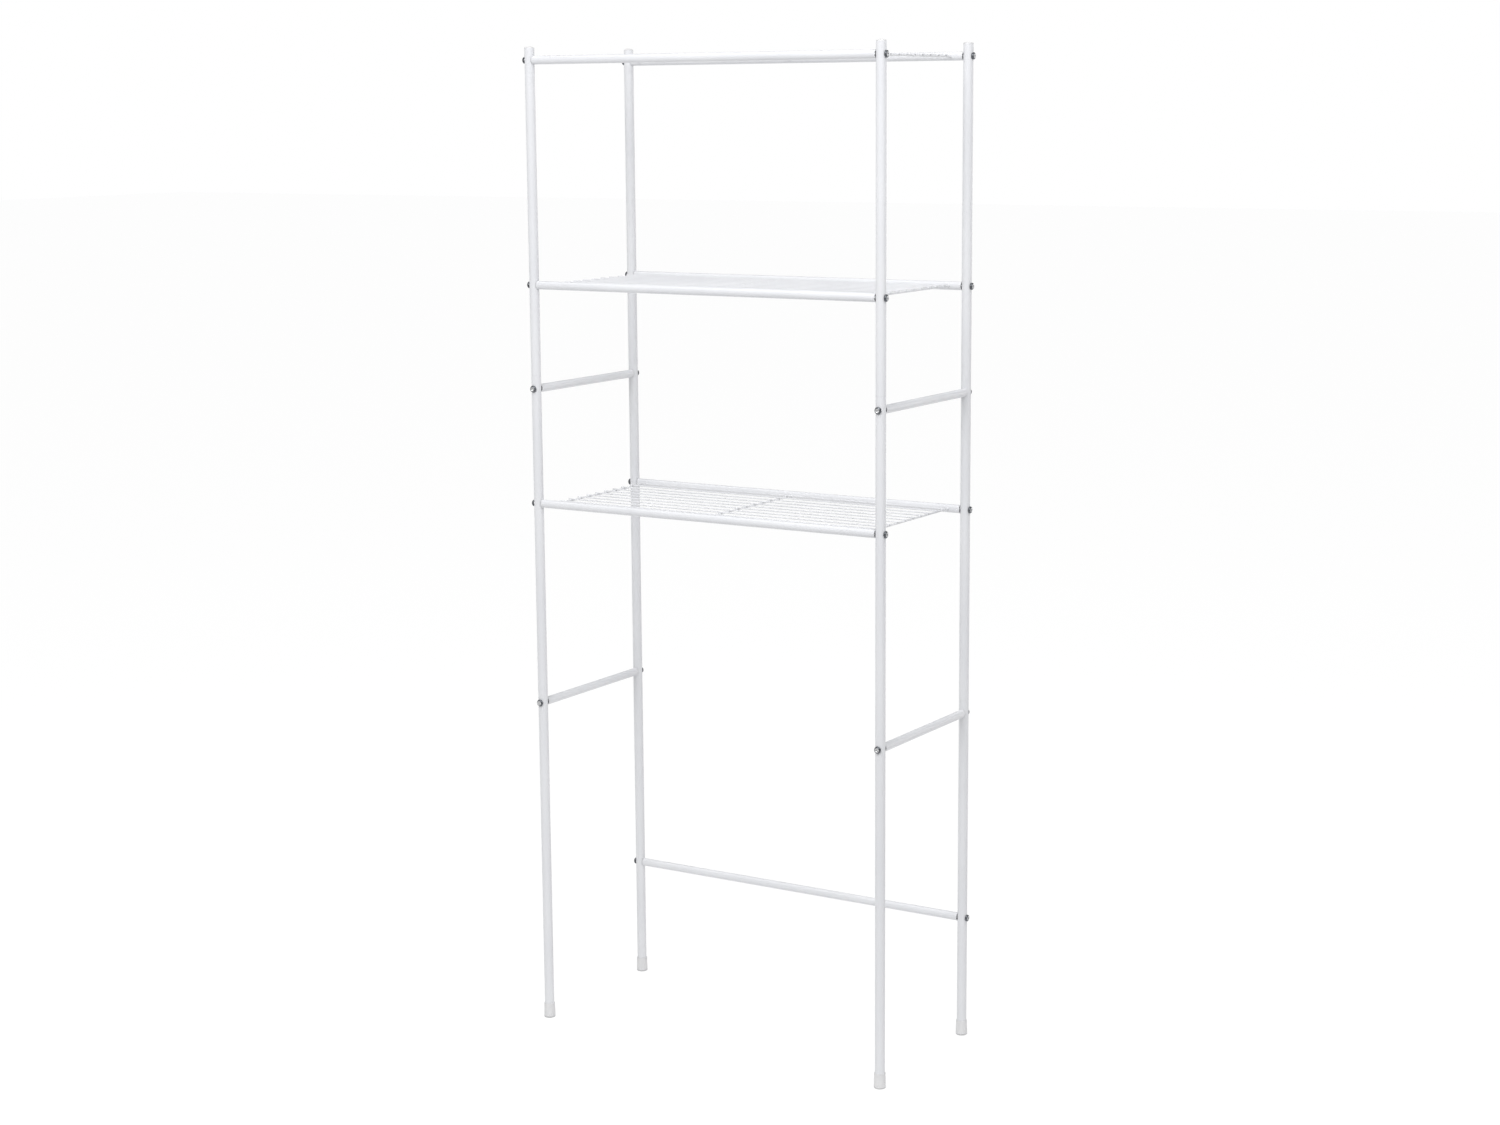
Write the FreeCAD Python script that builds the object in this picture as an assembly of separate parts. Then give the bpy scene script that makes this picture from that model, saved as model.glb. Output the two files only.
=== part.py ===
import FreeCAD, Part

import math
import os

# A free-standing storage rack that stands astride a toilet: four round posts, three wire shelves,
# four side rungs and one low bar at the back, all screwed together.
# Millimetres. +Z is up, -Y is the front, +X is the right-hand side seen from the front.
# The origin is on the floor, midway between the four feet.

# ---- Overall sizes -------------------------------------------------------------------------------
rack_height = 1524.0            # floor to the tops of the post caps
post_spacing_x = 603.0          # between post axes, side to side
post_spacing_y = 263.5          # between post axes, front to back

# ---- Posts: three tubes each, the reduced lower end of one plugs into the next one down -----------
post_diameter = 15.0
post_wall = 0.9
sections_per_post = 3
joint_length = 40.0             # how far a reduced end reaches into the section below
joint_clearance = 0.05          # between the reduced end and the bore it enters, per side
joint_taper = 3.0               # height over which the bore narrows above a seam
rung_below_seam = 20.0          # a rung's axis under the seam, so that its screw pins the joint

# ---- Rails, rungs and crossbar: plain tubes that butt against the posts ---------------------------
rail_diameter = 12.7
rail_wall = 0.9
top_rail_drop = 20.5            # top of the rack down to the top shelf's rail axes
shelf_spacing = 336.4           # between rail axes of neighbouring shelves
crossbar_height = 190.0         # axis of the bar between the rear posts

# ---- Wire grid of each shelf ----------------------------------------------------------------------
cross_wire_diameter = 3.2
cross_wire_count = 3
cross_wire_inset = 26.5         # post axis in to the end cross wires
long_wire_diameter = 2.3
long_wire_count = 10
long_wire_overhang = 4.0        # past the axes of the end cross wires
weld_sink = 0.3                 # how far a long wire is pressed into a cross wire as it is welded

# ---- Plastic feet and caps ------------------------------------------------------------------------
foot_height = 23.5
foot_floor = 3.0                # thickness under the post
foot_wall = 0.9                 # round the post, at the foot's top
foot_flare = 0.55               # extra radius at the foot's base
foot_base_round = 2.0
foot_top_round = 0.4
cap_head_height = 2.6
cap_head_edge = 0.9             # height of the straight rim under the dome
cap_stem_length = 10.0

# ---- M6 button-head screws and the threaded inserts that take them --------------------------------
screw_diameter = 6.0
screw_length = 30.0
screw_tip_chamfer = 0.8
screw_head_diameter = 10.5
screw_head_height = 3.3
screw_head_edge = 0.5           # height of the rim under the dome
screw_head_flat = 5.6           # diameter of the flat round the socket
socket_width = 4.0              # across flats
socket_depth = 2.1
screw_hole_clearance = 0.3      # per side, in the post walls
insert_length = 16.0
insert_recess = 2.0             # end of the tube in to the face of the insert

# ---- Sizes worked out from the ones above ---------------------------------------------------------
post_radius = post_diameter / 2
post_bore_radius = post_radius - post_wall
rail_radius = rail_diameter / 2
rail_bore_radius = rail_radius - rail_wall
joint_radius = post_bore_radius - joint_clearance
hole_radius = screw_diameter / 2 + screw_hole_clearance

tube_bottom = foot_floor
tube_top = rack_height - cap_head_height
joints_per_post = sections_per_post - 1
section_length = (tube_top - tube_bottom + joints_per_post * joint_length) / sections_per_post
seam_heights = [
    tube_bottom + section_length + number * (section_length - joint_length)
    for number in range(joints_per_post)
]

shelf_heights = {
    name: rack_height - top_rail_drop - number * shelf_spacing
    for number, name in enumerate(["top", "middle", "lower"])
}
rung_heights = {
    name: seam - rung_below_seam
    for name, seam in zip(["lower", "upper"], seam_heights)
}

sides = {"left": -1, "right": 1}
faces = {"front": -1, "rear": 1}
x_axis = FreeCAD.Vector(1, 0, 0)
y_axis = FreeCAD.Vector(0, 1, 0)
z_axis = FreeCAD.Vector(0, 0, 1)


# ---- Shapes ---------------------------------------------------------------------------------------
def side_x(side):
    return sides[side] * post_spacing_x / 2


def face_y(face):
    return faces[face] * post_spacing_y / 2


def rod(start, direction, length, radius):
    return Part.makeCylinder(radius, length, start, direction)


def tube(start, direction, length, outer_radius, inner_radius):
    return rod(start, direction, length, outer_radius).cut(rod(start, direction, length, inner_radius))


def turned(outline):
    """The solid that a closed outline of (radius, height) edges makes, turned about the Z axis."""
    face = Part.Face(Part.Wire(outline))
    return face.revolve(FreeCAD.Vector(0, 0, 0), z_axis, 360)


def on_outline(point):
    radius, height = point
    return FreeCAD.Vector(radius, 0, height)


def line(start, end):
    return Part.LineSegment(on_outline(start), on_outline(end)).toShape()


def arc(start, middle, end):
    return Part.Arc(on_outline(start), on_outline(middle), on_outline(end)).toShape()


def lines(points):
    return [line(start, end) for start, end in zip(points, points[1:])]


def corner(centre, radius, first, last):
    """A small round of an outline, from one angle to another in degrees from straight outward."""
    ends_and_middle = [
        (centre[0] + radius * math.cos(turn), centre[1] + radius * math.sin(turn))
        for turn in [math.radians(angle) for angle in (first, (first + last) / 2, last)]
    ]
    return arc(*ends_and_middle)


def dome(edge, top):
    """An arc that leaves a rim nearly upright and arrives level at the top of a dome."""
    run = edge[0] - top[0]
    rise = top[1] - edge[1]
    radius = (run ** 2 + rise ** 2) / (2 * rise)
    half_turn = math.asin(run / radius) / 2
    middle = (top[0] + radius * math.sin(half_turn), top[1] - radius * (1 - math.cos(half_turn)))
    return arc(edge, middle, top)


def placed(shape, position, direction):
    """A shape made along +Z, turned to point along a direction and moved to a position."""
    copy = shape.copy()
    copy.Placement = FreeCAD.Placement(position, FreeCAD.Rotation(z_axis, direction))
    return copy


# ---- Posts ----------------------------------------------------------------------------------------
def plain_section(bottom, top):
    return tube(FreeCAD.Vector(0, 0, bottom), z_axis, top - bottom, post_radius, post_bore_radius)


def plugged_section(seam, top):
    """A section whose reduced end reaches down into the one below and whose shoulder sits on it."""
    reduced_bore = joint_radius - post_wall
    outline = lines([
        (reduced_bore, seam - joint_length),
        (joint_radius, seam - joint_length),
        (joint_radius, seam),
        (post_radius, seam),
        (post_radius, top),
        (post_bore_radius, top),
        (post_bore_radius, seam + joint_taper),
        (reduced_bore, seam),
        (reduced_bore, seam - joint_length),
    ])
    return turned(outline)


def post_holes(face):
    """Screw clearance holes: along X for rails and crossbar, along Y for rungs."""
    rail_heights = list(shelf_heights.values())
    if face == "rear":
        rail_heights.append(crossbar_height)
    along_x = [
        rod(FreeCAD.Vector(-post_diameter, 0, height), x_axis, 2 * post_diameter, hole_radius)
        for height in rail_heights
    ]
    along_y = [
        rod(FreeCAD.Vector(0, -post_diameter, height), y_axis, 2 * post_diameter, hole_radius)
        for height in rung_heights.values()
    ]
    return along_x + along_y


def make_posts():
    tops = seam_heights + [tube_top]
    sections = {"lower": plain_section(tube_bottom, tops[0])}
    for name, seam, top in zip(["middle", "upper"], seam_heights, tops[1:]):
        sections[name] = plugged_section(seam, top)
    nodes = {}
    for face in faces:
        holes = post_holes(face)
        for side in sides:
            for name, section in sections.items():
                drilled = section.cut(holes)
                drilled.translate(FreeCAD.Vector(side_x(side), face_y(face), 0))
                nodes[f"{face}_{side}_post_{name}"] = drilled
    return nodes


# ---- Feet and caps --------------------------------------------------------------------------------
def foot():
    top_radius = post_radius + foot_wall
    base_radius = top_radius + foot_flare
    base_centre = (base_radius - foot_base_round, foot_base_round)
    top_centre = (top_radius - foot_top_round, foot_height - foot_top_round)
    outline = [
        line((0, 0), (base_centre[0], 0)),
        corner(base_centre, foot_base_round, -90, 0),
        line((base_radius, base_centre[1]), (top_radius, top_centre[1])),
        corner(top_centre, foot_top_round, 0, 90),
    ]
    outline += lines([
        (top_centre[0], foot_height),
        (post_radius, foot_height),
        (post_radius, foot_floor),
        (0, foot_floor),
        (0, 0),
    ])
    return turned(outline)


def post_cap():
    outline = lines([
        (0, cap_head_height),
        (0, -cap_stem_length),
        (post_bore_radius, -cap_stem_length),
        (post_bore_radius, 0),
        (post_radius, 0),
        (post_radius, cap_head_edge),
    ])
    outline.append(dome((post_radius, cap_head_edge), (0, cap_head_height)))
    shape = turned(outline)
    shape.translate(FreeCAD.Vector(0, 0, tube_top))
    return shape


def make_feet_and_caps():
    nodes = {}
    for face in faces:
        for side in sides:
            place = FreeCAD.Vector(side_x(side), face_y(face), 0)
            nodes[f"{face}_{side}_foot"] = foot().translated(place)
            nodes[f"{face}_{side}_post_cap"] = post_cap().translated(place)
    return nodes


# ---- Rails, crossbar and rungs --------------------------------------------------------------------
def bar_along_x(y, z):
    length = post_spacing_x - post_diameter
    return tube(FreeCAD.Vector(-length / 2, y, z), x_axis, length, rail_radius, rail_bore_radius)


def rung_along_y(x, z):
    length = post_spacing_y - post_diameter
    return tube(FreeCAD.Vector(x, -length / 2, z), y_axis, length, rail_radius, rail_bore_radius)


def make_tubes():
    nodes = {}
    for shelf, height in shelf_heights.items():
        for face in faces:
            nodes[f"{shelf}_shelf_{face}_rail"] = bar_along_x(face_y(face), height)
    nodes["rear_crossbar"] = bar_along_x(face_y("rear"), crossbar_height)
    for name, height in rung_heights.items():
        for side in sides:
            nodes[f"{side}_{name}_rung"] = rung_along_y(side_x(side), height)
    return nodes


# ---- Wire grids -----------------------------------------------------------------------------------
def long_wires(height):
    """Wires that run from side to side and lie on top of the cross wires."""
    reach = post_spacing_x / 2 - cross_wire_inset + long_wire_overhang
    level = height + (cross_wire_diameter + long_wire_diameter) / 2 - weld_sink
    pitch = post_spacing_y / (long_wire_count + 1)
    starts = [
        FreeCAD.Vector(-reach, face_y("front") + number * pitch, level)
        for number in range(1, long_wire_count + 1)
    ]
    return [rod(start, x_axis, 2 * reach, long_wire_diameter / 2) for start in starts]


def cross_wires(height, pressed_in):
    """Wires from rail to rail: ends shaped to the rails, tops dented by the wires pressed into them."""
    first = -post_spacing_x / 2 + cross_wire_inset
    step = -2 * first / (cross_wire_count - 1)
    rails = [
        rod(FreeCAD.Vector(-post_spacing_x / 2, face_y(face), height), x_axis, post_spacing_x, rail_radius)
        for face in faces
    ]
    wires = []
    for number in range(cross_wire_count):
        start = FreeCAD.Vector(first + number * step, face_y("front"), height)
        wire = rod(start, y_axis, post_spacing_y, cross_wire_diameter / 2)
        wires.append(wire.cut(rails + pressed_in))
    return wires


def make_grids():
    nodes = {}
    for shelf, height in shelf_heights.items():
        lengthwise = long_wires(height)
        nodes[f"{shelf}_shelf_long_wires"] = Part.makeCompound(lengthwise)
        nodes[f"{shelf}_shelf_cross_wires"] = Part.makeCompound(cross_wires(height, lengthwise))
    return nodes


# ---- Screws and inserts ---------------------------------------------------------------------------
def button_screw():
    """Head above the XY plane, shank below it."""
    head_radius = screw_head_diameter / 2
    shank_radius = screw_diameter / 2
    outline = [dome((head_radius, screw_head_edge), (screw_head_flat / 2, screw_head_height))]
    outline += lines([
        (screw_head_flat / 2, screw_head_height),
        (0, screw_head_height),
        (0, -screw_length),
        (shank_radius - screw_tip_chamfer, -screw_length),
        (shank_radius, screw_tip_chamfer - screw_length),
        (shank_radius, 0),
        (head_radius, 0),
        (head_radius, screw_head_edge),
    ])
    socket_corner = socket_width / math.sqrt(3)
    corners = [
        FreeCAD.Vector(socket_corner * math.cos(turn), socket_corner * math.sin(turn), 0)
        for turn in [math.radians(60 * number) for number in range(7)]
    ]
    socket = Part.Face(Part.makePolygon(corners)).extrude(z_axis * socket_depth)
    socket.translate(FreeCAD.Vector(0, 0, screw_head_height - socket_depth))
    return turned(outline).cut(socket)


def insert():
    """Threaded plug below the XY plane, which is the end of the tube that holds it."""
    start = FreeCAD.Vector(0, 0, -insert_recess)
    return tube(start, -z_axis, insert_length, rail_bore_radius, screw_diameter / 2)


def fixings(places):
    """Screws and inserts for tube ends, each given by a point on a post axis and the way out of it."""
    screw_shape = button_screw()
    insert_shape = insert()
    screws = [placed(screw_shape, point + outward * post_radius, outward) for point, outward in places]
    inserts = [placed(insert_shape, point - outward * post_radius, outward) for point, outward in places]
    return Part.makeCompound(screws), Part.makeCompound(inserts)


def rail_ends(height, on_faces):
    return [
        (FreeCAD.Vector(side_x(side), face_y(face), height), x_axis * sides[side])
        for face in on_faces for side in sides
    ]


def rung_ends(height):
    return [
        (FreeCAD.Vector(side_x(side), face_y(face), height), y_axis * faces[face])
        for face in faces for side in sides
    ]


def make_fixings():
    groups = {f"{shelf}_shelf": rail_ends(height, faces) for shelf, height in shelf_heights.items()}
    groups["crossbar"] = rail_ends(crossbar_height, ["rear"])
    for name, height in rung_heights.items():
        groups[f"{name}_rung"] = rung_ends(height)
    nodes = {}
    for name, places in groups.items():
        nodes[f"{name}_screws"], nodes[f"{name}_inserts"] = fixings(places)
    return nodes


# ---- The whole rack, one STEP file per node -------------------------------------------------------
def main():
    nodes = {}
    for maker in (make_posts, make_feet_and_caps, make_tubes, make_grids, make_fixings):
        nodes.update(maker())
    os.makedirs("parts", exist_ok=True)
    for name, shape in nodes.items():
        shape.exportStep(f"parts/{name}.step")
    print(len(nodes), "nodes")


main()
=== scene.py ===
import math

import bmesh
import bpy
from mathutils import Matrix, Vector


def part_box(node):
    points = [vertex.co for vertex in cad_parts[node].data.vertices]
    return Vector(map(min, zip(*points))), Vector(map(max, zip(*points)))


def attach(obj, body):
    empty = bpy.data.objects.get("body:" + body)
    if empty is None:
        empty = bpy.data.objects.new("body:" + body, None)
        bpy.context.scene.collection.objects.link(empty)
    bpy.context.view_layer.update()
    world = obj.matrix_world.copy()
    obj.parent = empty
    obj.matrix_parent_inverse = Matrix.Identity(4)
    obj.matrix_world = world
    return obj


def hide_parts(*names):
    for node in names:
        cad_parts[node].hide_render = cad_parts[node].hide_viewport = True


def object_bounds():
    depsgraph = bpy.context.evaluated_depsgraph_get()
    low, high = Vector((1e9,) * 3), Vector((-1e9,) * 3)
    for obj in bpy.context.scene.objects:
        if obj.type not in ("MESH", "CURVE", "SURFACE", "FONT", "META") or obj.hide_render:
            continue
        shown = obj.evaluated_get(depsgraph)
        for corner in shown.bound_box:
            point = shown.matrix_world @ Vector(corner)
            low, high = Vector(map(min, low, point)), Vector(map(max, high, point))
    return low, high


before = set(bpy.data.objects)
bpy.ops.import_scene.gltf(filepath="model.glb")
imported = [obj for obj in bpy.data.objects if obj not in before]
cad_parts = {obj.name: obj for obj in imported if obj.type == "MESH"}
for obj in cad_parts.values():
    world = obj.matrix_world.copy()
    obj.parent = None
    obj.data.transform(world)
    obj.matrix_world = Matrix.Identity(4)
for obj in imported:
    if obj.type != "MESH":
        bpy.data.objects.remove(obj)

# The looks of a white steel storage rack that stands astride a toilet. Metres, +Z up, -Y the front.
# Every place and overall size is read from the frame; only what a box can't tell is named here.

cad_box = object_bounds()

FACES = ("front", "rear")
SIDES = ("left", "right")
SHELVES = ("top", "middle", "lower")
LEVELS = ("upper", "lower")
SECTIONS = ("lower", "middle", "upper")

MM = 0.001
SHARP_ANGLE = 35                # degrees; a steeper edge between two faces stays sharp

# Tubes
TUBE_AROUND = 64                # facets round a tube
TUBE_WALL = 0.9 * MM
RIM_ROUND = 0.3 * MM            # rounding of a cut and coated tube end
PLUG_CLEARANCE = 0.05 * MM      # between a plug and the bore it stands in
PLUG_TAPER = 3 * MM             # height over which the bore narrows into the plug
SHOULDER_ROUND = 0.5 * MM       # where a post section narrows into its plug
HOLE_AROUND = 40
HOLE_RADIUS = 3.3 * MM
HOLE_MARGIN = 4.6 * MM          # from a hole's axis to the rings of mesh above and below it

# Wires and welds
LONG_WIRES = 10                 # along each shelf
CROSS_WIRES = 3                 # across each shelf, under the long ones
WIRE_AROUND = 20
WIRE_END_ROUND = 0.45 * MM
WIRE_IN_RAIL = 1 * MM           # how far a cross wire runs on into the rail at each end
NUGGET_SPREAD = 0.55 * MM       # how far a crossing weld spreads past the wires it joins
NUGGET_RISE = 0.62              # half the height of a crossing weld, in long wire radii
NUGGET_PLACE = 0.35             # its middle above the long wire's underside, in the same radii
BEAD_AROUND = 32
BEAD_STEPS = 10
BEAD_LENGTH = 1.9 * MM
BEAD_SPREAD = 1.25 * MM
BEAD_HOLLOW = 1.7               # 1 is a straight cone; more is hollower
BEAD_GRIP = 0.05 * MM           # how far a bead reaches into its wire
BEAD_SINK = 0.9 * MM            # how far a bead starts inside its rail
BEAD_SEED = 5

# Screws
SCREW_AROUND = 48
SCREW_LENGTH = 30 * MM          # under the head
PLAIN_SHANK = 13 * MM           # from the head to where the thread starts
SHANK_RADIUS = 3.0 * MM
THREAD_PITCH = 1.0 * MM
THREAD_DEPTH = 0.45 * MM
THREAD_SLICES = 6               # rings of mesh in one turn of the thread
TIP_LENGTH = 1 * MM
TIP_CHAMFER = 0.8 * MM
NECK_SPREAD = 0.2 * MM          # the small cone where the shank meets the head
NECK_LENGTH = 0.3 * MM
HEAD_STEPS = 10
HEAD_EDGE = 0.5 * MM
HEAD_FLAT_RADIUS = 2.9 * MM
HEAD_UNDERCUT = 0.15 * MM
SOCKET_WIDTH = 4.0 * MM         # across flats
SOCKET_DEPTH = 2.1 * MM
SOCKET_CHAMFER = 0.35 * MM
SOCKET_FLOOR_WIDTH = 3.72 * MM
SOCKET_FLOOR_ROUND = 0.1 * MM
SOCKET_CONE = 0.6 * MM          # depth of the drill point in the socket's floor
TURNED_RINGS = 42000.0          # radians of ripple in a metre outwards: a ring each 0.15 mm

# Feet
FOOT_WALL = 0.9 * MM
FOOT_BASE_ROUND = 2.0 * MM
FOOT_LIP_ROUND = 0.35 * MM
FOOT_SOCKET_ROUND = 0.2 * MM
GROOVE_STARTS = (3.4 * MM, 5.2 * MM)
GROOVE_WIDTH = 0.9 * MM
GROOVE_SLOPE = 0.25 * MM
GROOVE_DEPTH = 0.35 * MM
GROOVE_ROUND = 0.1 * MM
DIMPLE_RADIUS = 1.8 * MM        # of the hollow in the middle of a foot's underside
DIMPLE_SLOPE = 0.4 * MM

# Caps
CAP_HEAD = 2.6 * MM
CAP_RIM = 0.9 * MM
CAP_RIM_CHAMFER = 0.15 * MM
CAP_EDGE_DROP = 0.2 * MM        # the softened edge between the rim and the dome
CAP_EDGE_INSET = 0.12 * MM
CAP_STEM_CHAMFER = 0.4 * MM
DOME_STEPS = 12
GATE_RADIUS = 0.9 * MM          # the small sunk mark where a moulding was filled
GATE_LIP = 0.06 * MM
GATE_FLOOR_RADIUS = 0.7 * MM
GATE_DEPTH = 0.2 * MM


# ---- Reading the frame ----------------------------------------------------------------------------
def centre(node):
    low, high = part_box(node)
    return (low + high) / 2


def size(node):
    low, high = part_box(node)
    return high - low


POST_RADIUS = size("front_left_post_lower").x / 2
RAIL_RADIUS = size("rear_crossbar").z / 2
SHELF_HEIGHT = {shelf: centre(f"{shelf}_shelf_front_rail").z for shelf in SHELVES}
RUNG_HEIGHT = {level: centre(f"left_{level}_rung").z for level in LEVELS}
BAR_HEIGHT = centre("rear_crossbar").z


def post_axis(face, side):
    middle = centre(f"{face}_{side}_post_lower")
    return Vector((middle.x, middle.y, 0))


# ---- Shader maths ---------------------------------------------------------------------------------
class Value:
    """A number or colour that varies over a surface; arithmetic on it adds Math nodes."""

    def __init__(self, nodes, socket):
        self.nodes = nodes
        self.socket = socket

    def math(self, operation, *terms):
        return self.nodes.add("ShaderNodeMath", {"operation": operation}, terms)

    def __add__(self, other):
        return self.math("ADD", self, other)

    def __sub__(self, other):
        return self.math("SUBTRACT", self, other)

    def __rsub__(self, other):
        return self.math("SUBTRACT", other, self)

    def __mul__(self, other):
        return self.math("MULTIPLY", self, other)

    __radd__ = __add__
    __rmul__ = __mul__

    def between(self, low, high):
        """0 below low, 1 above high, smooth in between."""
        values = {"Value": self, "From Min": low, "From Max": high}
        return self.nodes.add("ShaderNodeMapRange", {"interpolation_type": "SMOOTHSTEP"}, values)

    def sliding_to(self, other, share):
        """This value where the share is 0, the other where it is 1."""
        return self + (other - self) * share


class Nodes:
    """A shader node tree, grown one node at a time."""

    def __init__(self, tree):
        self.tree = tree

    def add(self, kind, settings=None, values=(), output=0):
        """A node of a kind: its settings are made first, then the values or links of its sockets."""
        node = self.tree.nodes.new(kind)
        for name, setting in (settings or {}).items():
            setattr(node, name, setting)
        pairs = values.items() if isinstance(values, dict) else enumerate(values)
        for key, value in pairs:
            self.feed(node.inputs[key], value)
        return Value(self, node.outputs[output])

    def feed(self, socket, value):
        if isinstance(value, Value):
            self.tree.links.new(value.socket, socket)
        else:
            socket.default_value = value

    def along(self, vector, direction):
        """How far a vector reaches in a fixed direction."""
        settings = {"operation": "DOT_PRODUCT"}
        return self.add("ShaderNodeVectorMath", settings, [vector, direction], output="Value")


class Finish(Nodes):
    """One procedural material."""

    def __init__(self, name):
        self.material = bpy.data.materials.new(name)
        self.material.use_nodes = True
        super().__init__(self.material.node_tree)

    def object_place(self):
        return self.add("ShaderNodeTexCoord", output="Object")

    def noise(self, scale, detail, roughness=0.5, place=None):
        place = place or self.object_place()
        values = {"Vector": place, "Scale": scale, "Detail": detail, "Roughness": roughness}
        return self.add("ShaderNodeTexNoise", None, values)

    def attribute(self, name, output):
        return self.add("ShaderNodeAttribute", {"attribute_name": name}, output=output)

    def blend(self, share, first, second):
        """A colour between two others."""
        return self.add("ShaderNodeMixRGB", None, [share, first, second])

    def bump(self, height, distance, strength):
        values = {"Height": height, "Distance": distance, "Strength": strength}
        return self.add("ShaderNodeBump", None, values)

    def surface(self, **inputs):
        """The material, once the named inputs of its one shader are fed."""
        for name, value in inputs.items():
            self.feed(self.tree.nodes["Principled BSDF"].inputs[name.replace("_", " ")], value)
        return self.material


def powder_coat():
    """White powder coat: satin, with the faint orange peel and slow unevenness of a baked coat."""
    finish = Finish("white_powder_coat")
    drift = finish.noise(7.0, 3.0)
    peel = finish.noise(520.0, 1.0)
    ripple = finish.noise(150.0, 1.0)
    coat = finish.blend(drift.between(0.3, 0.7), (0.650, 0.657, 0.682, 1), (0.682, 0.688, 0.708, 1))
    return finish.surface(
        Base_Color=coat,
        Roughness=drift * 0.08 + peel * 0.05 + 0.24,
        Coat_Weight=0.2,
        Coat_Roughness=0.15,
        Normal=finish.bump(peel * 0.5 + ripple, 0.00004, 0.4),
    )


def moulded_plastic():
    """White moulded plastic: a shade duller than the coating, finely sparked, with painted contact shade
    darkening its lowest few millimetres.
    """
    finish = Finish("white_moulded_plastic")
    height = finish.add("ShaderNodeSeparateXYZ", None, [finish.object_place()], output="Z")
    cloud = finish.noise(55.0, 3.0)
    grain = finish.noise(1500.0, 2.0)
    plastic = finish.blend(cloud.between(0.3, 0.7), (0.640, 0.641, 0.650, 1), (0.668, 0.667, 0.673, 1))
    # Painted shade: the lowest 1.6 to 4.6 mm of a foot, with a cloudy edge, goes grey where it meets the
    # floor.
    clear_of_painted_shade = (height + cloud * (2 * MM)).between(1.6 * MM, 4.6 * MM)
    return finish.surface(
        Base_Color=finish.blend(clear_of_painted_shade, (0.42, 0.42, 0.43, 1), plastic),
        Roughness=grain * 0.12 + 0.38,
        IOR=1.46,
        Normal=finish.bump(grain, 0.00003, 0.35),
    )


def zinc_plate():
    """Zinc-plated steel: turned rings on the head, the flank painted dark as a painted reflection of a
    dark room, and the plate colour on the face round the socket.
    """
    finish = Finish("zinc_plate")
    reach = finish.attribute("reach", "Fac")
    blotch = finish.noise(900.0, 4.0, 0.6, finish.attribute("own_place", "Vector"))
    rings = finish.add("ShaderNodeMath", {"operation": "SINE"}, [reach * TURNED_RINGS + blotch * 2.0])
    plate = finish.blend(blotch.between(0.35, 0.7), (0.62, 0.63, 0.65, 1), (0.80, 0.80, 0.79, 1))
    return finish.surface(
        # Painted reflection: from 3.0 to 3.7 mm out, the head's flank turns near black in place of the
        # dark room it would mirror.
        Base_Color=finish.blend(reach.between(3.0 * MM, 3.7 * MM), plate, (0.135, 0.142, 0.155, 1)),
        Metallic=1.0,
        Roughness=blotch * 0.20 + 0.18,
        Normal=finish.bump(rings * 0.5 + blotch, 0.00001, 0.5),
    )


def plain_steel():
    """Bare turned steel of the inserts, inside the tube ends."""
    finish = Finish("plain_steel")
    blotch = finish.noise(420.0, 4.0, 0.6)
    return finish.surface(
        Base_Color=finish.blend(blotch.between(0.3, 0.7), (0.20, 0.20, 0.20, 1), (0.34, 0.33, 0.32, 1)),
        Metallic=1.0,
        Roughness=blotch * 0.25 + 0.30,
        Normal=finish.bump(blotch, 0.00002, 0.5),
    )


WHITE_COAT = powder_coat()
WHITE_PLASTIC = moulded_plastic()
ZINC = zinc_plate()
STEEL = plain_steel()


# ---- Meshes ---------------------------------------------------------------------------------------
def rounded(corners, steps=5):
    """The closed outline of (radius, height, round) corners, with its corners rounded off.

    A point just outside each round keeps the shading of the long straight stretches level.
    """
    outline = []
    for number, (radius, height, rounding) in enumerate(corners):
        corner = Vector((radius, height))
        if rounding == 0:
            outline.append(corner)
            continue
        before = Vector(corners[number - 1][:2]) - corner
        after = Vector(corners[(number + 1) % len(corners)][:2]) - corner
        start = corner + before.normalized() * rounding
        end = corner + after.normalized() * rounding
        if before.length > 2 * rounding:
            outline.append(corner + before.normalized() * rounding * 1.5)
        for step in range(steps + 1):
            share = step / steps
            outline.append(start * (1 - share) ** 2 + corner * 2 * share * (1 - share) + end * share ** 2)
        if after.length > 2 * rounding:
            outline.append(corner + after.normalized() * rounding * 1.5)
    return outline


def smooth(mesh):
    """Smooth shading, except across sharp edges."""
    mesh.shade_smooth()
    mesh.set_sharp_from_angle(angle=math.radians(SHARP_ANGLE))


def finished_mesh(name, vertices, polygons):
    """A smooth mesh with outward normals."""
    mesh = bpy.data.meshes.new(name)
    mesh.from_pydata(vertices, [], polygons)
    shape = bmesh.new()
    shape.from_mesh(mesh)
    bmesh.ops.recalc_face_normals(shape, faces=shape.faces)
    shape.to_mesh(mesh)
    shape.free()
    smooth(mesh)
    return mesh


def ringed_mesh(name, rings, closed):
    """A mesh through rings of equally many points; a ring of one point is a pole.

    closed joins the last ring to the first, as in a tube with a bore.
    """
    vertices = []
    starts = []
    for ring in rings:
        starts.append(len(vertices))
        vertices.extend(ring)
    around = max(len(ring) for ring in rings)
    pairs = list(zip(range(len(rings)), range(1, len(rings))))
    if closed:
        pairs.append((len(rings) - 1, 0))
    polygons = []
    for first, second in pairs:
        for step in range(around):
            following = (step + 1) % around
            if len(rings[first]) == 1:
                polygons.append((starts[first], starts[second] + step, starts[second] + following))
            elif len(rings[second]) == 1:
                polygons.append((starts[first] + step, starts[second], starts[first] + following))
            else:
                polygons.append((
                    starts[first] + step, starts[second] + step,
                    starts[second] + following, starts[first] + following,
                ))
    return finished_mesh(name, vertices, polygons)


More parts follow.
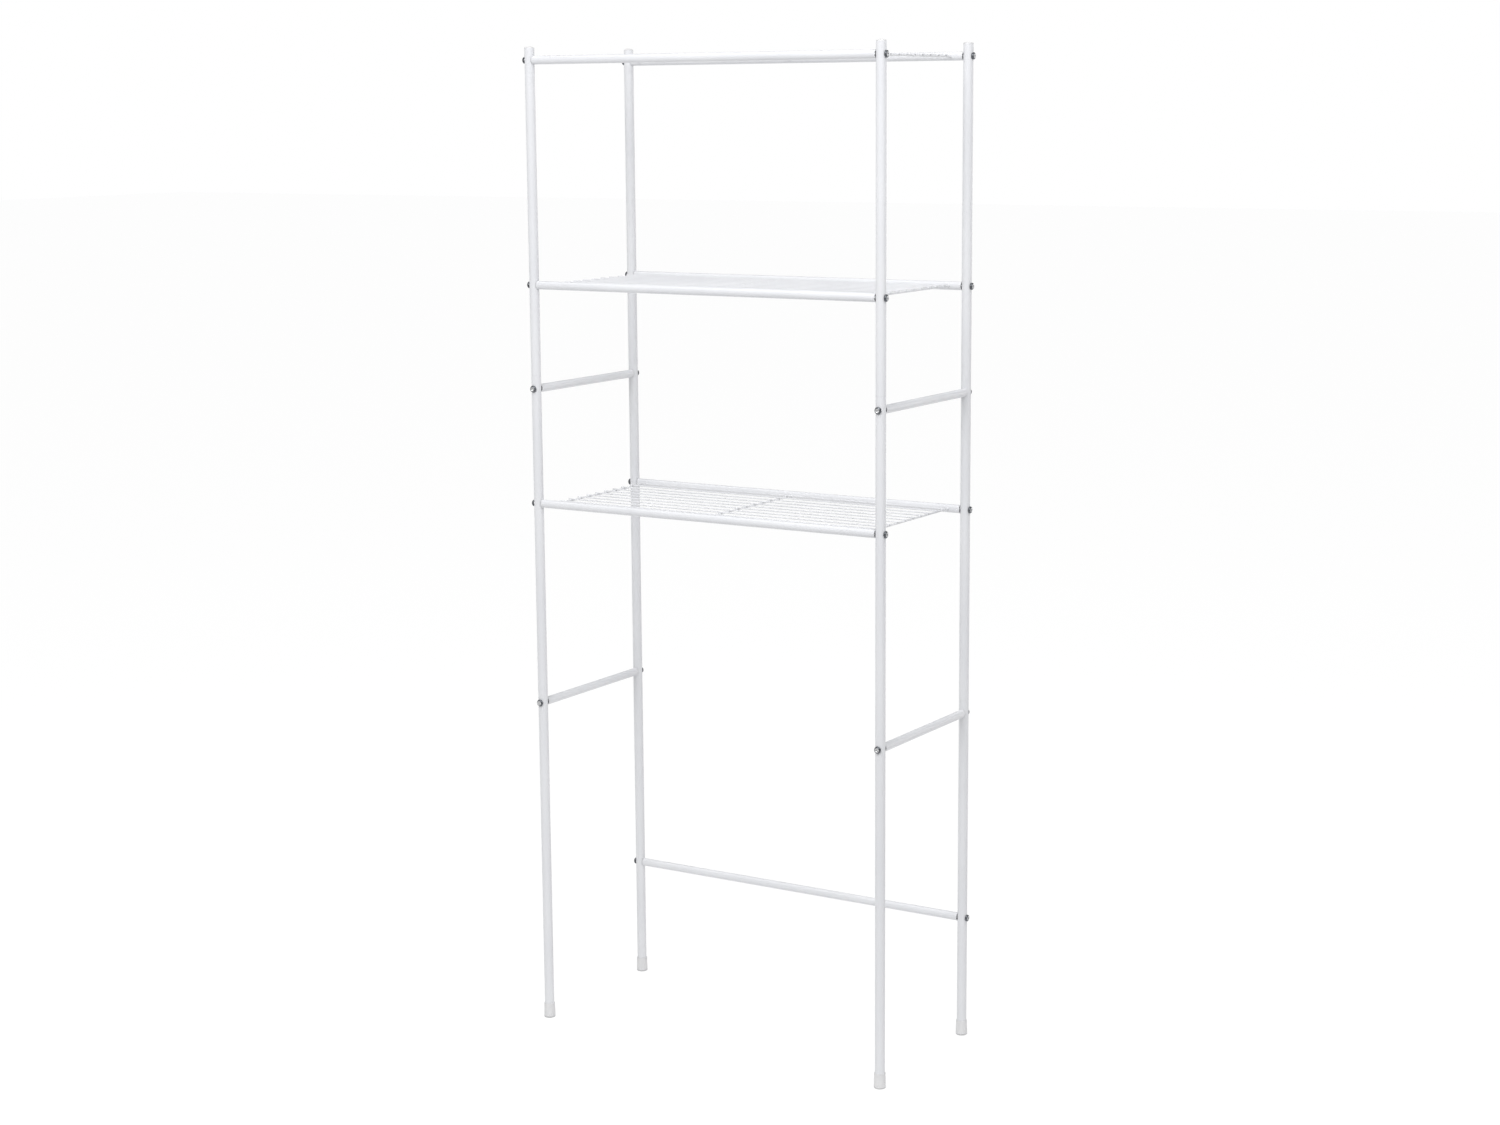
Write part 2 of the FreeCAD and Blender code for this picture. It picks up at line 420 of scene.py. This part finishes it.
def ring(radius, height, around):
    """Points round the Z axis; on the axis itself they are one pole."""
    if radius < 1e-7:
        return [(0.0, 0.0, height)]
    turns = [math.tau * step / around for step in range(around)]
    return [(radius * math.cos(turn), radius * math.sin(turn), height) for turn in turns]


def turned(name, outline, around, closed=True):
    """The solid of an outline of (radius, height) points, turned about the Z axis."""
    return ringed_mesh(name, [ring(radius, height, around) for radius, height in outline], closed)


def link(name, mesh):
    piece = bpy.data.objects.new(name, mesh)
    bpy.context.scene.collection.objects.link(piece)
    return piece


def settle(piece):
    """Whatever modifiers a piece has become its plain mesh, and the modifiers go."""
    bpy.context.view_layer.update()
    graph = bpy.context.evaluated_depsgraph_get()
    mesh = bpy.data.meshes.new_from_object(piece.evaluated_get(graph))
    piece.modifiers.clear()
    piece.data = mesh
    return piece


def hand_over(piece, material, slot, *nodes):
    """The piece joins the rack: its finish, the body it rides on and the nodes it stands for."""
    if not any(piece.data.materials):
        piece.data.materials.clear()
        piece.data.materials.append(material)
    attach(piece, "root")
    if nodes:
        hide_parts(*nodes)


def turned_to(direction):
    """The turn that takes +Z to a direction."""
    return Vector((0, 0, 1)).rotation_difference(Vector(direction)).to_matrix().to_4x4()


# ---- Posts ----------------------------------------------------------------------------------------
def post_holes(face):
    """(height, direction) of the screw holes in a post."""
    holes = [(height, "X") for height in SHELF_HEIGHT.values()]
    holes += [(height, "Y") for height in RUNG_HEIGHT.values()]
    if face == "rear":
        holes.append((BAR_HEIGHT, "X"))
    return holes


def with_hole_rings(outline, heights):
    """Extra points on the long straight walls of an outline, close above and below each hole."""
    marks = sorted(height + way * HOLE_MARGIN for height in heights for way in (-1, 1))
    fuller = []
    for number, point in enumerate(outline):
        fuller.append(point)
        following = outline[(number + 1) % len(outline)]
        low, high = sorted((point.y, following.y))
        if abs(point.x - following.x) > 1e-6 or high - low < HOLE_MARGIN:
            continue
        crossed = [Vector((point.x, mark)) for mark in marks if low < mark < high]
        fuller.extend(crossed if following.y > point.y else reversed(crossed))
    return fuller


def post_section(face, side, name):
    """A length of post; all but the lower one narrow into a plug that stands in the section below."""
    node = f"{face}_{side}_post_{name}"
    low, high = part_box(node)
    bore = POST_RADIUS - TUBE_WALL
    corners = [(POST_RADIUS, high.z, RIM_ROUND), (bore, high.z, RIM_ROUND)]
    if name == "lower":
        corners += [(bore, low.z, RIM_ROUND), (POST_RADIUS, low.z, RIM_ROUND)]
    else:
        below = SECTIONS[SECTIONS.index(name) - 1]
        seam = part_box(f"{face}_{side}_post_{below}")[1].z
        plug = bore - PLUG_CLEARANCE
        corners += [
            (bore, seam + PLUG_TAPER, SHOULDER_ROUND), (plug - TUBE_WALL, seam, SHOULDER_ROUND),
            (plug - TUBE_WALL, low.z, RIM_ROUND), (plug, low.z, RIM_ROUND),
            (plug, seam, 0), (POST_RADIUS, seam, SHOULDER_ROUND),
        ]
    holes = [(height, way) for height, way in post_holes(face) if low.z < height < high.z]
    outline = with_hole_rings(rounded(corners), [height for height, way in holes])
    mesh = turned(f"{node}_tube", outline, TUBE_AROUND)
    axis = post_axis(face, side)
    mesh.transform(Matrix.Translation(axis))
    piece = link(f"{node}_tube", mesh)
    drill(piece, axis, holes)
    hand_over(piece, WHITE_COAT, "white_coating", node)


def drill(piece, axis, holes):
    """Round holes right through a post, at their (height, direction) pairs."""
    directions = {"X": (1, 0, 0), "Y": (0, 1, 0)}
    shape = bmesh.new()
    for height, way in holes:
        matrix = Matrix.Translation((axis.x, axis.y, height)) @ turned_to(directions[way])
        bmesh.ops.create_cone(
            shape, cap_ends=True, segments=HOLE_AROUND, radius1=HOLE_RADIUS, radius2=HOLE_RADIUS,
            depth=4 * POST_RADIUS, matrix=matrix,
        )
    mesh = bpy.data.meshes.new("drill")
    shape.to_mesh(mesh)
    shape.free()
    drill_piece = link("drill", mesh)
    boolean = piece.modifiers.new("holes", "BOOLEAN")
    boolean.operation = "DIFFERENCE"
    boolean.solver = "EXACT"
    boolean.object = drill_piece
    settle(piece)
    bpy.data.objects.remove(drill_piece)
    smooth(piece.data)


# ---- Rails, rungs and crossbar --------------------------------------------------------------------
def straight_tube(node, direction):
    """A plain tube with rounded rims in the place of a rail, rung or crossbar."""
    length = max(size(node))
    bore = RAIL_RADIUS - TUBE_WALL
    corners = [
        (RAIL_RADIUS, length / 2, RIM_ROUND), (bore, length / 2, RIM_ROUND),
        (bore, -length / 2, RIM_ROUND), (RAIL_RADIUS, -length / 2, RIM_ROUND),
    ]
    mesh = turned(f"{node}_tube", rounded(corners), TUBE_AROUND)
    mesh.transform(Matrix.Translation(centre(node)) @ turned_to(direction))
    hand_over(link(f"{node}_tube", mesh), WHITE_COAT, "white_coating", node)


def make_tubes():
    for shelf in SHELVES:
        for face in FACES:
            straight_tube(f"{shelf}_shelf_{face}_rail", (1, 0, 0))
    straight_tube("rear_crossbar", (1, 0, 0))
    for level in LEVELS:
        for side in SIDES:
            straight_tube(f"{side}_{level}_rung", (0, 1, 0))


# ---- Geometry Nodes for what repeats --------------------------------------------------------------
class Recipe:
    """A Geometry Nodes tree: named inputs, then nodes, ending in real geometry with a material."""

    def __init__(self, name, inputs):
        self.tree = bpy.data.node_groups.new(name, "GeometryNodeTree")
        sockets = self.tree.interface
        sockets.new_socket("Geometry", in_out="INPUT", socket_type="NodeSocketGeometry")
        sockets.new_socket("Geometry", in_out="OUTPUT", socket_type="NodeSocketGeometry")
        self.names = {}
        for label, kind in inputs.items():
            self.names[label] = sockets.new_socket(label, in_out="INPUT", socket_type=kind).identifier
        self.given = self.tree.nodes.new("NodeGroupInput").outputs

    def add(self, kind, settings=None, values=None):
        """The outputs of a new node: its settings are made first, then its values or links."""
        node = self.tree.nodes.new(kind)
        for name, setting in (settings or {}).items():
            setattr(node, name, setting)
        for key, value in (values or {}).items():
            if isinstance(value, bpy.types.NodeSocket):
                self.tree.links.new(value, node.inputs[key])
            else:
                node.inputs[key].default_value = value
        return node.outputs

    def finish(self, instances):
        """The tree ends with the copies made real and given their material."""
        solid = self.add("GeometryNodeRealizeInstances", None, {"Geometry": instances})
        painted = self.add("GeometryNodeSetMaterial", None, {
            "Geometry": solid["Geometry"], "Material": self.given["Material"],
        })
        self.add("NodeGroupOutput", None, {"Geometry": painted["Geometry"]})

    def run(self, piece, values):
        """The tree's result as the piece's plain mesh."""
        modifier = piece.modifiers.new(self.tree.name, "NODES")
        modifier.node_group = self.tree
        for label, value in values.items():
            modifier[self.names[label]] = value
        return settle(piece)


def row_recipe():
    """Copies of one shape along a straight row."""
    recipe = Recipe("row", {
        "Shape": "NodeSocketObject", "Count": "NodeSocketInt", "First": "NodeSocketVector",
        "Step": "NodeSocketVector", "Material": "NodeSocketMaterial",
    })
    row = recipe.add("GeometryNodeMeshLine", {"mode": "OFFSET"}, {
        "Count": recipe.given["Count"],
        "Start Location": recipe.given["First"],
        "Offset": recipe.given["Step"],
    })
    shape = recipe.add("GeometryNodeObjectInfo", None, {"Object": recipe.given["Shape"]})
    copies = recipe.add("GeometryNodeInstanceOnPoints", None, {
        "Points": row["Mesh"], "Instance": shape["Geometry"],
    })
    recipe.finish(copies["Instances"])
    return recipe


def outward_recipe():
    """A copy of one shape on every point, its +Z turned to the point's outward direction."""
    recipe = Recipe("outward", {
        "Shape": "NodeSocketObject", "Seed": "NodeSocketInt", "Largest Turn": "NodeSocketFloat",
        "Material": "NodeSocketMaterial",
    })
    vector = {"data_type": "FLOAT_VECTOR"}
    outward = recipe.add("GeometryNodeInputNamedAttribute", vector, {"Name": "outward"})
    facing = recipe.add(
        "FunctionNodeAlignRotationToVector", {"axis": "Z"}, {"Vector": outward["Attribute"]})
    # Of the random node's many sockets, input 3 is the largest number and output 1 the number drawn.
    turn = recipe.add("FunctionNodeRandomValue", {"data_type": "FLOAT"}, {
        3: recipe.given["Largest Turn"], "Seed": recipe.given["Seed"],
    })
    angles = recipe.add("ShaderNodeCombineXYZ", None, {"Z": turn[1]})
    spin = recipe.add("FunctionNodeEulerToRotation", None, {"Euler": angles["Vector"]})
    spun = recipe.add("FunctionNodeRotateRotation", {"rotation_space": "LOCAL"}, {
        "Rotation": facing["Rotation"], "Rotate By": spin["Rotation"],
    })
    shape = recipe.add("GeometryNodeObjectInfo", None, {"Object": recipe.given["Shape"]})
    copies = recipe.add("GeometryNodeInstanceOnPoints", None, {
        "Points": recipe.given["Geometry"], "Instance": shape["Geometry"], "Rotation": spun["Rotation"],
    })
    recipe.finish(copies["Instances"])
    return recipe


ROW = row_recipe()
OUTWARD = outward_recipe()


def in_a_row(name, shape, count, first, step, material):
    """Copies of a shape at even steps, as one piece."""
    piece = link(name, bpy.data.meshes.new(name))
    values = {"Shape": shape, "Count": count, "First": first, "Step": step, "Material": material}
    return ROW.run(piece, values)


def on_points(name, shape, places, material, largest_turn=0.0, seed=0):
    """A shape on each of some (point, outward direction) places, as one piece."""
    mesh = bpy.data.meshes.new(name)
    mesh.from_pydata([point for point, outward in places], [], [])
    directions = mesh.attributes.new("outward", "FLOAT_VECTOR", "POINT")
    for number, (point, outward) in enumerate(places):
        directions.data[number].vector = outward
    piece = link(name, mesh)
    values = {"Shape": shape, "Seed": seed, "Largest Turn": largest_turn, "Material": material}
    return OUTWARD.run(piece, values)


# ---- Wire grids -----------------------------------------------------------------------------------
def wire(length, radius, direction):
    """A straight wire through the origin with softened ends."""
    corners = [(0, -length / 2, 0), (radius, -length / 2, WIRE_END_ROUND),
               (radius, length / 2, WIRE_END_ROUND), (0, length / 2, 0)]
    mesh = turned("wire", rounded(corners, 3), WIRE_AROUND, closed=False)
    mesh.transform(turned_to(direction))
    return link("wire", mesh)


def weld_nugget(long_radius, cross_radius):
    """The metal squeezed out where a long wire is pressed into a cross wire, under the coating."""
    shape = bmesh.new()
    bmesh.ops.create_uvsphere(shape, u_segments=20, v_segments=10, radius=1)
    reach = (cross_radius + NUGGET_SPREAD, long_radius + NUGGET_SPREAD, NUGGET_RISE * long_radius)
    bmesh.ops.scale(shape, vec=reach, verts=shape.verts)
    mesh = bpy.data.meshes.new("weld_nugget")
    shape.to_mesh(mesh)
    shape.free()
    mesh.shade_smooth()
    return link("weld_nugget", mesh)


def rail_bead(wire_radius):
    """A weld bead round the end of a cross wire: +Z points from the rail along the wire."""
    length = BEAD_LENGTH + BEAD_SINK
    rings = [[(0.0, 0.0, 0.0)]]
    for step in range(BEAD_STEPS + 1):
        share = step / BEAD_STEPS
        flare = BEAD_SPREAD * (1 - share) ** BEAD_HOLLOW
        points = []
        for turn_step in range(BEAD_AROUND):
            turn = math.tau * turn_step / BEAD_AROUND
            uneven = 1 + 0.16 * math.sin(3 * turn + 0.6) + 0.09 * math.sin(7 * turn + share * 4)
            radius = wire_radius - BEAD_GRIP + flare * uneven
            points.append((radius * math.cos(turn), radius * math.sin(turn), share * length))
        rings.append(points)
    rings.append([(0.0, 0.0, length)])
    return link("rail_bead", ringed_mesh("rail_bead", rings, closed=False))


def wire_grid(shelf):
    """One shelf's long wires, the cross wires they are pressed into, and the welds of both."""
    long_node = f"{shelf}_shelf_long_wires"
    cross_node = f"{shelf}_shelf_cross_wires"
    long_low, long_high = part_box(long_node)
    cross_low, cross_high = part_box(cross_node)
    long_radius = (long_high.z - long_low.z) / 2
    cross_radius = (cross_high.z - cross_low.z) / 2
    long_height = centre(long_node).z
    cross_height = centre(cross_node).z

    long_step = (size(long_node).y - 2 * long_radius) / (LONG_WIRES - 1)
    first_y = long_low.y + long_radius
    shape = wire(size(long_node).x, long_radius, (1, 0, 0))
    lengthwise = in_a_row(
        f"{shelf}_shelf_long_wire_row", shape, LONG_WIRES,
        (0, first_y, long_height), (0, long_step, 0), WHITE_COAT)
    bpy.data.objects.remove(shape)
    hand_over(lengthwise, WHITE_COAT, "white_coating", long_node)

    cross_step = (size(cross_node).x - 2 * cross_radius) / (CROSS_WIRES - 1)
    first_x = cross_low.x + cross_radius
    shape = wire(size(cross_node).y + 2 * WIRE_IN_RAIL, cross_radius, (0, 1, 0))
    crosswise = in_a_row(
        f"{shelf}_shelf_cross_wire_row", shape, CROSS_WIRES,
        (first_x, 0, cross_height), (cross_step, 0, 0), WHITE_COAT)
    bpy.data.objects.remove(shape)
    hand_over(crosswise, WHITE_COAT, "white_coating", cross_node)

    nugget = weld_nugget(long_radius, cross_radius)
    weld_height = long_low.z + NUGGET_PLACE * long_radius
    crossings = []
    for across in range(CROSS_WIRES):
        for along in range(LONG_WIRES):
            place = Vector((first_x + across * cross_step, first_y + along * long_step, weld_height))
            crossings.append((place, Vector((0, 0, 1))))
    welds = on_points(f"{shelf}_shelf_crossing_welds", nugget, crossings, WHITE_COAT)
    bpy.data.objects.remove(nugget)
    hand_over(welds, WHITE_COAT, "white_coating")

    bead = rail_bead(cross_radius)
    ends = []
    for across in range(CROSS_WIRES):
        for face, inward in (("front", 1), ("rear", -1)):
            rail = centre(f"{shelf}_shelf_{face}_rail")
            start = rail.y + inward * (RAIL_RADIUS - BEAD_SINK)
            place = Vector((first_x + across * cross_step, start, cross_height))
            ends.append((place, Vector((0, inward, 0))))
    beads = on_points(f"{shelf}_shelf_rail_beads", bead, ends, WHITE_COAT, math.tau, BEAD_SEED)
    bpy.data.objects.remove(bead)
    hand_over(beads, WHITE_COAT, "white_coating")


# ---- Screws ---------------------------------------------------------------------------------------
def hexagon_ring(width, height, roundness=0.0):
    """Points round a hexagon of a width across flats; roundness 1 is the circle round its corners."""
    points = []
    corner_radius = width / math.sqrt(3)
    for step in range(SCREW_AROUND):
        turn = math.tau * step / SCREW_AROUND
        from_flat = (turn % (math.pi / 3)) - math.pi / 6
        flat_radius = width / 2 / math.cos(from_flat)
        radius = flat_radius + (corner_radius - flat_radius) * roundness
        points.append((radius * math.cos(turn), radius * math.sin(turn), height))
    return points


def thread_ring(height, depth):
    """A slice of a one-start thread: the radius dips and rises as the turn and the height say."""
    points = []
    for step in range(SCREW_AROUND):
        share = step / SCREW_AROUND
        place = (height / THREAD_PITCH - share) % 1.0
        dip = 1 - abs(2 * place - 1)
        radius = SHANK_RADIUS - depth * dip
        points.append((radius * math.cos(math.tau * share), radius * math.sin(math.tau * share), height))
    return points


def button_screw(head_radius, head_height):
    """A button-head screw with a hexagon socket: its head above the XY plane, its shank below."""
    socket_floor = head_height - SOCKET_DEPTH
    rings = [
        [(0.0, 0.0, socket_floor - SOCKET_CONE)],
        hexagon_ring(SOCKET_FLOOR_WIDTH, socket_floor),
        hexagon_ring(SOCKET_WIDTH, socket_floor + SOCKET_FLOOR_ROUND),
        hexagon_ring(SOCKET_WIDTH, head_height - SOCKET_CHAMFER),
        hexagon_ring(SOCKET_WIDTH + 0.5 * SOCKET_CHAMFER, head_height - 0.35 * SOCKET_CHAMFER, 0.7),
        hexagon_ring(SOCKET_WIDTH + SOCKET_CHAMFER, head_height, 1.0),
        ring(HEAD_FLAT_RADIUS, head_height, SCREW_AROUND),
    ]
    run = head_radius - HEAD_FLAT_RADIUS
    rise = head_height - HEAD_EDGE
    bow = (run ** 2 + rise ** 2) / (2 * rise)
    for step in range(1, HEAD_STEPS + 1):
        out = run * math.sin(step / HEAD_STEPS * math.pi / 2)
        height = head_height - bow + math.sqrt(bow ** 2 - out ** 2)
        rings.append(ring(HEAD_FLAT_RADIUS + out, height, SCREW_AROUND))
    rings += [
        ring(head_radius, HEAD_EDGE * 0.5, SCREW_AROUND),
        ring(head_radius - HEAD_UNDERCUT, 0.0, SCREW_AROUND),
        ring(SHANK_RADIUS + NECK_SPREAD, 0.0, SCREW_AROUND),
        ring(SHANK_RADIUS, -NECK_LENGTH, SCREW_AROUND),
    ]
    slices = round((SCREW_LENGTH - PLAIN_SHANK - TIP_LENGTH) / THREAD_PITCH * THREAD_SLICES)
    for step in range(slices + 1):
        height = -PLAIN_SHANK - step * THREAD_PITCH / THREAD_SLICES
        run_in = min(1.0, step / THREAD_SLICES)
        rings.append(thread_ring(height, THREAD_DEPTH * run_in))
    rings += [ring(SHANK_RADIUS - TIP_CHAMFER, -SCREW_LENGTH, SCREW_AROUND), [(0.0, 0.0, -SCREW_LENGTH)]]
    mesh = ringed_mesh("button_screw", rings, closed=False)
    own_place = mesh.attributes.new("own_place", "FLOAT_VECTOR", "POINT")
    reach = mesh.attributes.new("reach", "FLOAT", "POINT")
    for number, vertex in enumerate(mesh.vertices):
        own_place.data[number].vector = vertex.co
        reach.data[number].value = vertex.co.xy.length
    return link("button_screw", mesh)


def screw_places(height, faces, way):
    """(point, outward) where the heads of one group of screws meet the posts."""
    places = []
    for face in faces:
        for side in SIDES:
            axis = post_axis(face, side)
            if way == "X":
                outward = Vector((math.copysign(1, axis.x), 0, 0))
            else:
                outward = Vector((0, math.copysign(1, axis.y), 0))
            places.append((axis + Vector((0, 0, height)) + outward * POST_RADIUS, outward))
    return places


def make_screws():
    groups = {f"{shelf}_shelf": (SHELF_HEIGHT[shelf], FACES, "X") for shelf in SHELVES}
    groups["crossbar"] = (BAR_HEIGHT, ("rear",), "X")
    for level in LEVELS:
        groups[f"{level}_rung"] = (RUNG_HEIGHT[level], FACES, "Y")
    low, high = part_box("crossbar_screws")
    head_radius = (high.z - low.z) / 2
    head_height = high.x - post_axis("rear", "right").x - POST_RADIUS
    shape = button_screw(head_radius, head_height)
    for seed, (group, (height, faces, way)) in enumerate(groups.items()):
        places = screw_places(height, faces, way)
        screws = on_points(f"{group}_button_screws", shape, places, ZINC, math.tau, seed)
        hand_over(screws, ZINC, "zinc_screw", f"{group}_screws")
    bpy.data.objects.remove(shape)


# ---- Feet and caps --------------------------------------------------------------------------------
def foot(face, side):
    """A push-on foot: flared, with a rounded base, a soft lip and shallow rings moulded under it."""
    node = f"{face}_{side}_foot"
    height = size(node).z
    base_radius = size(node).x / 2
    lip_radius = POST_RADIUS + FOOT_WALL
    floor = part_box(f"{face}_{side}_post_lower")[0].z
    corners = [
        (0, GROOVE_DEPTH, 0), (DIMPLE_RADIUS - DIMPLE_SLOPE, GROOVE_DEPTH, GROOVE_ROUND),
        (DIMPLE_RADIUS, 0, GROOVE_ROUND),
    ]
    for start in GROOVE_STARTS:
        end = start + GROOVE_WIDTH
        corners += [
            (start, 0, GROOVE_ROUND), (start + GROOVE_SLOPE, GROOVE_DEPTH, GROOVE_ROUND),
            (end - GROOVE_SLOPE, GROOVE_DEPTH, GROOVE_ROUND), (end, 0, GROOVE_ROUND),
        ]
    corners += [
        (base_radius, 0, FOOT_BASE_ROUND), (lip_radius, height, FOOT_LIP_ROUND),
        (POST_RADIUS, height, FOOT_SOCKET_ROUND), (POST_RADIUS, floor, 0), (0, floor, 0),
    ]
    mesh = turned(f"{node}_moulding", rounded(corners), TUBE_AROUND, closed=False)
    mesh.transform(Matrix.Translation(post_axis(face, side)))
    hand_over(link(f"{node}_moulding", mesh), WHITE_PLASTIC, "white_plastic", node)


def post_cap(face, side):
    """A domed plug with a rim as wide as the post and a small gate mark on top."""
    node = f"{face}_{side}_post_cap"
    low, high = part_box(node)
    bore = POST_RADIUS - TUBE_WALL
    seat = high.z - CAP_HEAD
    rise = CAP_HEAD - CAP_RIM
    bow = (POST_RADIUS ** 2 + rise ** 2) / (2 * rise)
    outline = [
        (0, low.z), (bore - CAP_STEM_CHAMFER, low.z), (bore, low.z + CAP_STEM_CHAMFER), (bore, seat),
        (POST_RADIUS - CAP_RIM_CHAMFER, seat), (POST_RADIUS, seat + CAP_RIM_CHAMFER),
        (POST_RADIUS, seat + CAP_RIM - CAP_EDGE_DROP),
    ]
    for step in range(DOME_STEPS):
        out = (POST_RADIUS - CAP_EDGE_INSET) * math.cos(step / DOME_STEPS * math.pi / 2)
        outline.append((out, high.z - bow + math.sqrt(bow ** 2 - out ** 2)))
    outline += [
        (GATE_RADIUS, high.z - GATE_LIP), (GATE_FLOOR_RADIUS, high.z - GATE_DEPTH),
        (0, high.z - GATE_DEPTH),
    ]
    mesh = turned(f"{node}_moulding", outline, TUBE_AROUND, closed=False)
    mesh.transform(Matrix.Translation(post_axis(face, side)))
    hand_over(link(f"{node}_moulding", mesh), WHITE_PLASTIC, "white_plastic", node)


# ---- Inserts stay as the frame has them -----------------------------------------------------------
def finish_inserts():
    for name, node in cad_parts.items():
        if name.endswith("_inserts"):
            node.data.materials.clear()
            node.data.materials.append(STEEL)


# ---- Studio ---------------------------------------------------------------------------------------
CAMERA_TURN = 31.84             # degrees from straight in front, towards the rack's right
CAMERA_TILT = 9.98              # degrees below level
CAMERA_ROLL = -0.42
CAMERA_DISTANCE = 2.592         # level distance from the rack's axis, in rack heights
CAMERA_HEIGHT = 0.944           # in rack heights
CAMERA_LENS = 62.74             # mm
CAMERA_SENSOR = 36.0            # mm wide
FLOOR_REACH = 30.0              # metres from the rack to each side of the floor
FLOOR_HEIGHT = -0.2 * MM        # just under the feet

# Brightness of the room round the rack
WALL_LIGHT = 0.62
SWEEP_LIGHT = 1.0               # the wall behind the rack
GROUND_LIGHT = 0.85
UPPER_WALL_LIGHT = 0.12
CEILING_LIGHT = 1.7
CARD_LIGHT = 1.8                # what a small white card adds, seen mirrored in the rack's right side

# Soft boxes: name, degrees from the camera, level distance, height and width in rack heights, watts
SOFT_BOXES = (
    ("key", -30, 1.6, 1.9, 0.9, 51),
    ("fill", 24, 1.6, 1.9, 0.9, 38),
)


def make_camera(height):
    data = bpy.data.cameras.new("camera")
    data.lens = CAMERA_LENS
    data.sensor_width = CAMERA_SENSOR
    camera = bpy.data.objects.new("camera", data)
    turn = math.radians(CAMERA_TURN)
    place = Vector((math.sin(turn), -math.cos(turn), 0)) * CAMERA_DISTANCE * height
    place.z = CAMERA_HEIGHT * height
    camera.matrix_world = (
        Matrix.Translation(place)
        @ Matrix.Rotation(turn, 4, "Z")
        @ Matrix.Rotation(math.radians(90 - CAMERA_TILT), 4, "X")
        @ Matrix.Rotation(math.radians(CAMERA_ROLL), 4, "Z")
    )
    bpy.context.scene.collection.objects.link(camera)
    bpy.context.scene.camera = camera


def soft_box(name, place, aim, width, power):
    """A square lamp at a place, turned towards its aim."""
    data = bpy.data.lights.new(name, "AREA")
    data.shape = "SQUARE"
    data.size = width
    data.energy = power
    light = bpy.data.objects.new(name, data)
    light.location = place
    light.rotation_euler = (Vector(aim) - Vector(place)).to_track_quat("-Z", "Y").to_euler()
    bpy.context.scene.collection.objects.link(light)


def make_floor(away):
    """A wide dark grey floor that glows with painted light, brightest from the rack's feet to the back of
    the studio.
    """
    finish = Finish("studio_floor")
    behind = finish.along(finish.object_place(), away)
    front_light = (0.45, 0.45, 0.45, 1)
    rear_light = (0.87, 0.87, 0.87, 1)
    material = finish.surface(
        Base_Color=(0.15, 0.15, 0.15, 1),
        Roughness=1.0,
        Specular_IOR_Level=0.0,
        # Painted light: the floor's glow, not its colour, makes it pale, dimmer in front of the rack and
        # brightest behind it.
        Emission_Color=finish.blend(behind.between(-1.6, -0.45), front_light, rear_light),
        Emission_Strength=1.0,
    )
    signs = ((-1, -1), (1, -1), (1, 1), (-1, 1))
    corners = [(x * FLOOR_REACH, y * FLOOR_REACH, FLOOR_HEIGHT) for x, y in signs]
    mesh = bpy.data.meshes.new("floor")
    mesh.from_pydata(corners, [], [(0, 1, 2, 3)])
    mesh.materials.append(material)
    link("floor", mesh)


def make_studio(height):
    """A floor glowing with painted light, a white sweep behind the rack, dimmer walls elsewhere and soft
    light in front.

    The bright ceiling and the small white card to the right are there for the tubes to mirror.
    """
    turn = math.radians(CAMERA_TURN)
    away = (-math.sin(turn), math.cos(turn), 0)
    make_floor(away)

    world = bpy.data.worlds.new("studio")
    bpy.context.scene.world = world
    world.use_nodes = True
    room = Nodes(world.node_tree)
    direction = room.add("ShaderNodeTexCoord", output="Generated")
    rise = room.add("ShaderNodeSeparateXYZ", None, [direction], output="Z")
    facing = room.along(direction, away).between(0.35, 0.75)
    walls = WALL_LIGHT + facing * (SWEEP_LIGHT - WALL_LIGHT)
    lower = GROUND_LIGHT + (walls - GROUND_LIGHT) * rise.between(-0.52, -0.40)
    upper = lower.sliding_to(UPPER_WALL_LIGHT, rise.between(0.20, 0.32))
    ceiling = upper.sliding_to(CEILING_LIGHT, rise.between(0.70, 0.88))
    mirrored = (math.sin(turn), math.cos(turn), -math.sin(math.radians(CAMERA_TILT)))
    card = room.along(direction, mirrored).between(0.965, 0.992)
    light = ceiling + card * CARD_LIGHT
    room.feed(world.node_tree.nodes["Background"].inputs["Color"], light)

    aim = (0, 0, 0.5 * height)
    for name, beside, distance, lamp_height, width, power in SOFT_BOXES:
        lamp_turn = math.radians(CAMERA_TURN + beside)
        place = Vector((math.sin(lamp_turn), -math.cos(lamp_turn), 0)) * distance * height
        place.z = lamp_height * height
        soft_box(name, place, aim, width * height, power)
    bpy.context.scene.view_settings.view_transform = "Standard"


# ---- The whole rack -------------------------------------------------------------------------------
make_camera(cad_box[1].z)
make_studio(cad_box[1].z)
for face_name in FACES:
    for side_name in SIDES:
        for section_name in SECTIONS:
            post_section(face_name, side_name, section_name)
        foot(face_name, side_name)
        post_cap(face_name, side_name)
make_tubes()
for shelf_name in SHELVES:
    wire_grid(shelf_name)
make_screws()
finish_inserts()
